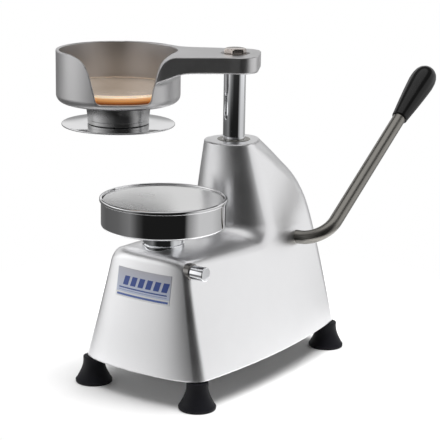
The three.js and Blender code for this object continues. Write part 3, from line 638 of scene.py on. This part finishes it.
# ---- Lever -------------------------------------------------------------------------------------
LEVER_RISE = math.radians(34.9)
LEVER_X, LEVER_LENGTH, BEND_R, ROD_R, GRIP_START = 70.0, 190, 25.0, 6.0, 158.5
SHAFT, SHAFT_END = np.array([0.0, 38.6, 108.6]), -36
lever_dir = np.array([0.0, math.cos(LEVER_RISE), math.sin(LEVER_RISE)])


def lever_path():
    """The rod's middle line: the shaft, the bend beside the body, and the arm under the grip."""
    straight = [SHAFT + [x, 0, 0] for x in np.linspace(SHAFT_END, LEVER_X - BEND_R, 12)]
    bend_centre = SHAFT + [LEVER_X - BEND_R, 0, 0] + lever_dir * BEND_R
    bend = [
        bend_centre + BEND_R * (math.sin(a) * np.array([1.0, 0, 0]) - math.cos(a) * lever_dir)
        for a in np.linspace(0, math.pi / 2, 28)[1:]
    ]
    arm = [SHAFT + [LEVER_X, 0, 0] + lever_dir * d for d in np.linspace(BEND_R, LEVER_LENGTH, 20)[1:]]
    return np.array(straight + bend + arm)


def sweep(path, radius, sides, segments=40):
    """A round bar along a path; sides holds one direction square to the path at each of its points."""
    tangents = np.gradient(path, axis=0)
    tangents /= np.linalg.norm(tangents, axis=1)[:, None]
    points, faces = [], []
    for p, t, side in zip(path, tangents, sides):
        other = np.cross(t, side)
        for i in range(segments):
            a = 2 * math.pi * i / segments
            points.append(p + radius * (math.cos(a) * side + math.sin(a) * other))
    for k in range(len(path) - 1):
        for i in range(segments):
            a, b = k * segments + i, k * segments + (i + 1) % segments
            faces.append((a, b, b + segments, a + segments))
    last = (len(path) - 1) * segments
    faces.append(tuple(range(segments))[::-1])
    faces.append(tuple(last + i for i in range(segments)))
    return np.array(points), faces


bush_ring = [(6.3, 26.0), (9.0, 26.0), (9.0, 39.6), (8.6, 40.2), (6.7, 40.2), (6.3, 39.8)]
add_piece(
    "shaft_bush_ring", *along_x(bush_ring, SHAFT[1], SHAFT[2]), bronze, "housing", ["right_shaft_bush"], "bronze"
)
rod_path = lever_path()
rod_side = np.cross(lever_dir, [1.0, 0, 0])
rod = sweep(rod_path, ROD_R, [rod_side] * len(rod_path))
add_piece("lever_bar", *rod, satin_steel, "lever", ["lever_rod"], "satin_steel")

knob_profile = [
    (0, 2), (6.2, 2), (6.2, 0.2), (6.8, 0.0), *arc(6.9, 0.5, 0.5, -70, 0, 3), (7.7, 4), (8.5, 11), (9.5, 20),
    (10.5, 30), (11.4, 40), (11.9, 47), (11.9, 51), (11.6, 55), (10.8, 58.8), (9.4, 62.0),
    (7.4, 64.5), (4.9, 66.0), (2.4, 66.7), (0, 66.9),
]
knob_points, knob_faces = lathe(knob_profile, 96)
knob_base = SHAFT + [LEVER_X, 0, 0] + lever_dir * GRIP_START
add_piece(
    "lever_grip", turn_to(knob_points, knob_base, lever_dir), knob_faces, black_plastic, "lever",
    ["lever_knob"], "black_plastic", False, 60.0,
)

# ---- Ejector spring: a coil on the housing's web, under the ejector ------------------------------
SPRING_LOW, SPRING_HIGH, COIL_R, WIRE_R, TURNS, EJECTOR_TRAVEL = 42.5, 75.5, 11.0, 1.0, 4, 17.1
coil_angle = np.linspace(0, 2 * math.pi * TURNS, 32 * TURNS + 1)
coil_sides = np.stack([np.cos(coil_angle), np.sin(coil_angle), 0 * coil_angle], 1)
coil_path = coil_sides * COIL_R + [BOWL[0], BOWL[1], 0]
coil_path[:, 2] = np.linspace(SPRING_LOW + WIRE_R, SPRING_HIGH - WIRE_R, len(coil_angle))
coil = sweep(coil_path, WIRE_R, coil_sides, 12)
spring = add_piece("ejector_coil_spring", *coil, spring_steel, "housing", ["ejector_spring"], "spring_steel")
spring_foot = place([[BOWL[0], BOWL[1], SPRING_LOW]])[0]
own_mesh(spring)

# ---- Head --------------------------------------------------------------------------------------
CUP = (0.0, -SWING_RADIUS)
CUP_BOTTOM, CUP_FLOOR, CUP_R, CUP_INNER, ARM_TOP = 226.5, 231.6, 53.84, 50.9, 272.0
CUTOUT_BEARING = math.radians(14.2)
CUP_FOOT_ROUND, ARM_EDGE, ARM_END, ARM_LEAN = 7.0, 0.9, 21.0, 0.95
BOLT_SEAT_R, BOLT_SEAT = 12.5, 269.7
# Half widths and underside of the arm along its length, and the cut-out's half width against height.
near_side = smooth_table([
    [-104, 50], [-86, 49.6], [-76, 46.5], [-67.8, 42.8], [-58, 39.6], [-46, 37.0], [-36, 35.2], [-24, 32.6],
    [-12, 30.2], [0, 29], [30, 29],
])
far_side = smooth_table([
    [-104, 50], [-84, 48.5], [-76, 46.4], [-70, 43], [-62, 36.5], [-54, 31.8], [-46, 29.5], [-38, 29], [30, 29],
])
arm_underside = smooth_table([
    [-101, 247], [-70, 249], [-60, 250.5], [-52, 253.2], [-44, 256], [-36, 257.4], [-28, 257.6], [30, 257.6],
])
cutout_half = smooth_table([
    [228, 22.4], [236, 23.4], [248, 26.2], [258, 28.9], [264, 31.6], [268, 35.2], [270.4, 39.4], [272, 44], [276, 60],
])


def head_casting(x, y, z):
    """The swing arm and the cup, hollow, with a window in the cup's front and a seat for the bolt."""
    from_cup = np.hypot(x, y + SWING_RADIUS)
    cup = round_max(round_max(from_cup - CUP_R, CUP_BOTTOM - z, CUP_FOOT_ROUND), z - ARM_TOP, ARM_EDGE)
    sides = np.maximum((x - near_side(y)) * ARM_LEAN, (-x - far_side(y)) * ARM_LEAN)
    outline = round_max(sides, y - ARM_END, 15.0)
    outline = np.maximum(outline, -(y + SWING_RADIUS))
    arm = round_max(round_max(outline, z - ARM_TOP, ARM_EDGE), (arm_underside(y) - z) * ARM_LEAN, 1.6)
    body = round_min(cup, arm, 5.0)
    body = round_max(body, z - ARM_TOP, ARM_EDGE)
    hollow = round_max(from_cup - CUP_INNER, CUP_FLOOR - z, 3.0)
    body = round_max(body, -hollow, 0.7)
    c, s = math.cos(CUTOUT_BEARING), math.sin(CUTOUT_BEARING)
    u = -s * x + c * (y + SWING_RADIUS)
    v = c * x + s * (y + SWING_RADIUS)
    window = round_max(round_max(np.abs(u) - cutout_half(z), CUP_FLOOR + 0.6 - z, 3.6), 8.0 - v, 0.5)
    body = round_max(body, -window, 0.8)
    seat = np.maximum(np.hypot(x, y) - BOLT_SEAT_R, BOLT_SEAT - z)
    return round_max(body, -seat, 0.4)


add_surface(
    "head_arm_and_cup", head_casting, (-57, -158, 224), (57, 25, 275), 0.95,
    head_aluminium, "swing_head", ["arm_and_cup_casting"], "cast_aluminium", True,
)

neck_profile = [
    (0, 208.0), (26.2, 208.0), *arc(26.2, 208.5, 0.5, -90, 0, 4), (26.75, 211.0), (26.8, 211.3), (26.55, 211.6),
    (26.6, 211.9), (27.0, 214.5), (27.5, 218.5), (28.0, 222.0), (28.5, 225.6), (28.3, 226.2), (0, 226.2),
]
add_piece(
    "head_neck", *lathe(neck_profile, 128, CUP), turned_aluminium, "swing_head", ["press_neck"],
    "turned_aluminium", True,
)
plate_profile = [
    (8.3, 206.2), (48.9, 206.2), *arc(48.7, 206.8, 0.6, -90, 0, 5), *arc(48.8, 207.2, 0.5, 0, 90, 5),
    (30.0, 207.7), (4.6, 207.7), (4.6, 207.4),
]
add_piece(
    "head_press_plate", *lathe(plate_profile, 192, CUP), polished_steel, "swing_head", ["press_plate"],
    "polished_stainless", True,
)
column_profile = [
    (0, 118), (8.5, 118), (9.5, 119), (9.5, 125.6), (8.4, 125.6), (8.4, 127.5), (9.5, 127.5), (9.5, 141.7),
    (8.4, 141.7), (8.4, 143.6), (9.5, 143.6), (9.5, 257.3), (0, 257.3),
]
add_piece("head_column", *lathe(column_profile, 128), chrome, "swing_head", ["column"], "chrome", True)


BOLT_LOW, BOLT_TOP, BOLT_HALF_FLATS, BOLT_CORNER, BOLT_TURN = 269.95, 275.9, 8.5, 9.75, 0.35


def hex_bolt():
    """Hexagon head with the usual turned chamfer."""
    rings, size = [], 96
    for inset, z in ((0.0, BOLT_LOW), (0.0, 274.4), (0.35, 275.1), (1.05, 275.75), (1.9, 276.0)):
        ring = []
        for i in range(size):
            a = 2 * math.pi * i / size
            sector = (a + math.pi / 6) % (math.pi / 3) - math.pi / 6
            flat = BOLT_HALF_FLATS / math.cos(sector)
            r = min(flat, BOLT_CORNER - inset) if inset else flat
            ring.append((r * math.cos(a + BOLT_TURN), r * math.sin(a + BOLT_TURN), z))
        rings.append(ring)
    points = [p for ring in rings for p in ring] + [(0, 0, BOLT_LOW), (0, 0, BOLT_TOP)]
    faces = []
    for k in range(len(rings) - 1):
        for i in range(size):
            a, b = k * size + i, k * size + (i + 1) % size
            faces.append((a, b, b + size, a + size))
    bottom, top = len(points) - 2, len(points) - 1
    for i in range(size):
        j = (i + 1) % size
        faces.append((bottom, j, i))
        faces.append((top, (len(rings) - 1) * size + i, (len(rings) - 1) * size + j))
    return np.array(points, float), faces


add_piece("head_bolt", *hex_bolt(), bolt_steel, "swing_head", ["column_bolt"], "satin_steel", True, 24.0)


def disc_stack():
    """Film discs, each a little off centre, so that their edges show as fine layers."""
    profile, count = [(0, DISCS_LOW)], 19
    step = (DISCS_HIGH - DISCS_LOW) / count
    for i in range(count):
        low = DISCS_LOW + i * step
        wander = 0.22 * math.sin(2.1 * i) + 0.12 * math.sin(5.3 * i + 1)
        r = 46.4 + 2.4 * math.sqrt(min(1.0, (i + 0.6) / 8.0)) + wander
        profile += [(r - 0.1, low + 0.02), (r, low + step * 0.3), (r, low + step * 0.7), (r - 0.1, low + step)]
    profile += [(46.0, DISCS_HIGH), (20.0, DISCS_HIGH), (0, DISCS_HIGH)]
    return lathe(profile, 160, CUP)


discs = add_piece(
    "film_discs", *disc_stack(), [film_edge, film_top], "swing_head", ["film_disc_stack"], "film", True, 70.0
)
for polygon in discs.data.polygons:
    if polygon.normal.z > 0.9 and polygon.center.z > (DISCS_HIGH - 0.1) / 1000:
        polygon.material_index = 1

# ---- Finish of the CAD pieces that are kept ------------------------------------------------------
KEPT = {
    "lower_column_bush": bronze, "left_shaft_bush": bronze, "stem_bush": bronze,
    "ejector_stem": zinc_steel, "ejector_bar": zinc_steel, "ejector_nut": zinc_steel, "ejector_stem_collar": zinc_steel,
    "crank_fork": zinc_steel, "fork_roll_pin": spring_steel, "lift_block": zinc_steel,
    "lower_circlip": spring_steel, "upper_circlip": spring_steel, "plate_screw": polished_steel,
    "neck_screw_1": zinc_steel, "neck_screw_2": zinc_steel, "neck_screw_3": zinc_steel,
}
for node_name, finish in KEPT.items():
    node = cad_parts[node_name]
    node.data.materials.clear()
    node.data.materials.append(finish)

# ---- Floor, light and camera, in metres ----------------------------------------------------------
FLOOR_HALF, FADE_START, FADE_END = 0.6, 0.17, 0.32
floor_material = new_material("pale_floor", (0.93, 0.93, 0.93), 0.0, 0.6)
floor_noise = add_noise(floor_material, 3.0, 2.0)
ramp(floor_material, floor_noise.outputs["Fac"], [(0.3, (0.92, 0.92, 0.92)), (0.7, (0.94, 0.94, 0.94))], "Base Color")


def fade_floor(material, start, end):
    """The floor fades into the white surroundings between two radii."""
    nodes, links = material.node_tree.nodes, material.node_tree.links
    coord = nodes.new("ShaderNodeTexCoord")
    length = nodes.new("ShaderNodeVectorMath")
    length.operation = "LENGTH"
    node = nodes.new("ShaderNodeMapRange")
    node.interpolation_type = "SMOOTHSTEP"
    node.inputs["From Min"].default_value = start
    node.inputs["From Max"].default_value = end
    node.inputs["To Min"].default_value = 1.0
    node.inputs["To Max"].default_value = 0.0
    links.new(coord.outputs["Object"], length.inputs[0])
    links.new(length.outputs["Value"], node.inputs["Value"])
    links.new(node.outputs["Result"], nodes["Principled BSDF"].inputs["Alpha"])


fade_floor(floor_material, FADE_START, FADE_END)
floor_mesh = bpy.data.meshes.new("floor")
floor_corners = [(x * FLOOR_HALF, y * FLOOR_HALF, 0) for x, y in ((-1, -1), (1, -1), (1, 1), (-1, 1))]
floor_mesh.from_pydata(floor_corners, [], [(0, 1, 2, 3)])
floor_mesh.materials.append(floor_material)
floor = bpy.data.objects.new("floor", floor_mesh)
bpy.context.scene.collection.objects.link(floor)


def area_light(name, location, target, size, power):
    light = bpy.data.lights.new(name, "AREA")
    light.shape = "RECTANGLE"
    light.size, light.size_y = size
    light.energy = power
    lamp = bpy.data.objects.new(name, light)
    lamp.location = location
    lamp.rotation_euler = (Vector(target) - Vector(location)).to_track_quat("-Z", "Y").to_euler()
    bpy.context.scene.collection.objects.link(lamp)
    return lamp


# The softbox lights the floor; the metals get their overhead sheen from the surroundings.
area_light("top_softbox", (0.1, 0.15, 1.6), (0, 0, 0.1), (1.3, 1.3), 42.0).visible_glossy = False

world = bpy.data.worlds.new("studio")
bpy.context.scene.world = world
world.use_nodes = True
tree = world.node_tree
background = tree.nodes["Background"]


def world_value(operation, a, b=None, c=None):
    """One step of arithmetic in the world's shader, on numbers or on other steps' results."""
    node = tree.nodes.new("ShaderNodeMath")
    node.operation = operation
    for socket, value in zip(node.inputs, (a, b, c)):
        if value is None:
            continue
        if isinstance(value, (int, float)):
            socket.default_value = value
        else:
            tree.links.new(value, socket)
    return node.outputs[0]


def higher_than(edge, soft):
    """0 below a height and 1 above it, with a soft edge. Height runs from -1 straight down to 1 straight up."""
    node = tree.nodes.new("ShaderNodeMapRange")
    node.interpolation_type = "SMOOTHSTEP"
    node.inputs["From Min"].default_value = edge - soft
    node.inputs["From Max"].default_value = edge + soft
    tree.links.new(height, node.inputs["Value"])
    return node.outputs["Result"]


sky = tree.nodes.new("ShaderNodeTexCoord")
direction = tree.nodes.new("ShaderNodeSeparateXYZ")
tree.links.new(sky.outputs["Generated"], direction.inputs["Vector"])
# Bearing measured from the camera's side of the press, positive towards the right of the picture.
view_x, view_y = math.sin(CAMERA_BEARING), -math.cos(CAMERA_BEARING)
forward = world_value(
    "ADD",
    world_value("MULTIPLY", direction.outputs["X"], view_x),
    world_value("MULTIPLY", direction.outputs["Y"], view_y),
)
sideways = world_value(
    "ADD",
    world_value("MULTIPLY", direction.outputs["X"], -view_y),
    world_value("MULTIPLY", direction.outputs["Y"], view_x),
)
bearing = world_value("ARCTAN2", sideways, forward)
height = direction.outputs["Z"]


def world_mix(low, high, factor):
    """low where factor is 0 and high where it is 1."""
    return world_value("MULTIPLY_ADD", factor, world_value("SUBTRACT", high, low), low)


def around(stops):
    """Brightness around the press, by bearing in degrees."""
    node = tree.nodes.new("ShaderNodeValToRGB")
    elements = node.color_ramp.elements
    while len(elements) < len(stops):
        elements.new(0.5)
    for element, (angle, value) in zip(elements, stops):
        element.position = (angle + 180.0) / 360.0
        element.color = (value, value, value, 1.0)
    turn = world_value("MULTIPLY_ADD", bearing, 0.5 / math.pi, 0.5)
    tree.links.new(turn, node.inputs["Fac"])
    return node.outputs["Color"]


# Level with the press: white to the left and right, and one wide dark card in front.
above = around([
    (-180, 0.40), (-162, 0.20), (-132, 0.24), (-116, 0.70), (-102, 1.35), (-85, 1.35), (-69, 1.05), (-52, 0.66),
    (-37, 0.34), (-23, 0.20), (-8, 0.04), (46, 0.03), (58, 0.35), (72, 0.85), (94, 0.90), (110, 1.08), (122, 0.92),
    (138, 0.52), (158, 0.42), (180, 0.40),
])
# Below the table's edge: black in front, grey to the left and light to the right.
below = around([
    (-180, 0.20), (-128, 0.11), (-90, 0.13), (-62, 0.20), (-46, 0.06), (-34, 0.012), (42, 0.012), (50, 0.28),
    (72, 0.66), (104, 0.64), (130, 0.48), (150, 0.34), (180, 0.20),
])
# Behind, a little higher, the backdrop is evenly light.
BACKDROP_BEARING, BACKDROP, DOME, OVERHEAD = math.radians(105), 0.84, 0.13, 1.0
behind = world_value("GREATER_THAN", world_value("ABSOLUTE", bearing), BACKDROP_BEARING)
above = world_mix(above, BACKDROP, world_value("MULTIPLY", higher_than(0.16, 0.04), behind))
level_band = world_mix(below, above, higher_than(-0.165, 0.025))
# High up the studio is dim, apart from the softbox overhead.
dome = world_mix(level_band, DOME, higher_than(0.53, 0.05))
shade = world_mix(dome, OVERHEAD, higher_than(0.86, 0.06))
# The camera itself sees plain white.
seen = tree.nodes.new("ShaderNodeLightPath").outputs["Is Camera Ray"]
level = world_value("ADD", world_value("MULTIPLY", shade, world_value("SUBTRACT", 1.0, seen)), seen)
tree.links.new(level, background.inputs["Strength"])
background.inputs["Color"].default_value = (1.0, 1.0, 1.0, 1.0)

camera_data = bpy.data.cameras.new("camera")
camera_data.sensor_width = 36.0
camera_data.lens = 131.79355
camera_data.clip_end = 50.0
camera = bpy.data.objects.new("camera", camera_data)
pitch, roll = math.radians(14.27), math.radians(0.93)
look = Vector((-view_x * math.cos(pitch), -view_y * math.cos(pitch), -math.sin(pitch)))
right = Vector((-view_y, view_x, 0.0))
upward = right.cross(look)
right_rolled = right * math.cos(roll) + upward * math.sin(roll)
up_rolled = upward * math.cos(roll) - right * math.sin(roll)
basis = Matrix((right_rolled, up_rolled, -look)).transposed().to_4x4()
camera.matrix_world = Matrix.Translation((0.7991, -1.1678, 0.4723)) @ basis
bpy.context.scene.collection.objects.link(camera)
bpy.context.scene.camera = camera
bpy.context.scene.view_settings.view_transform = "Standard"
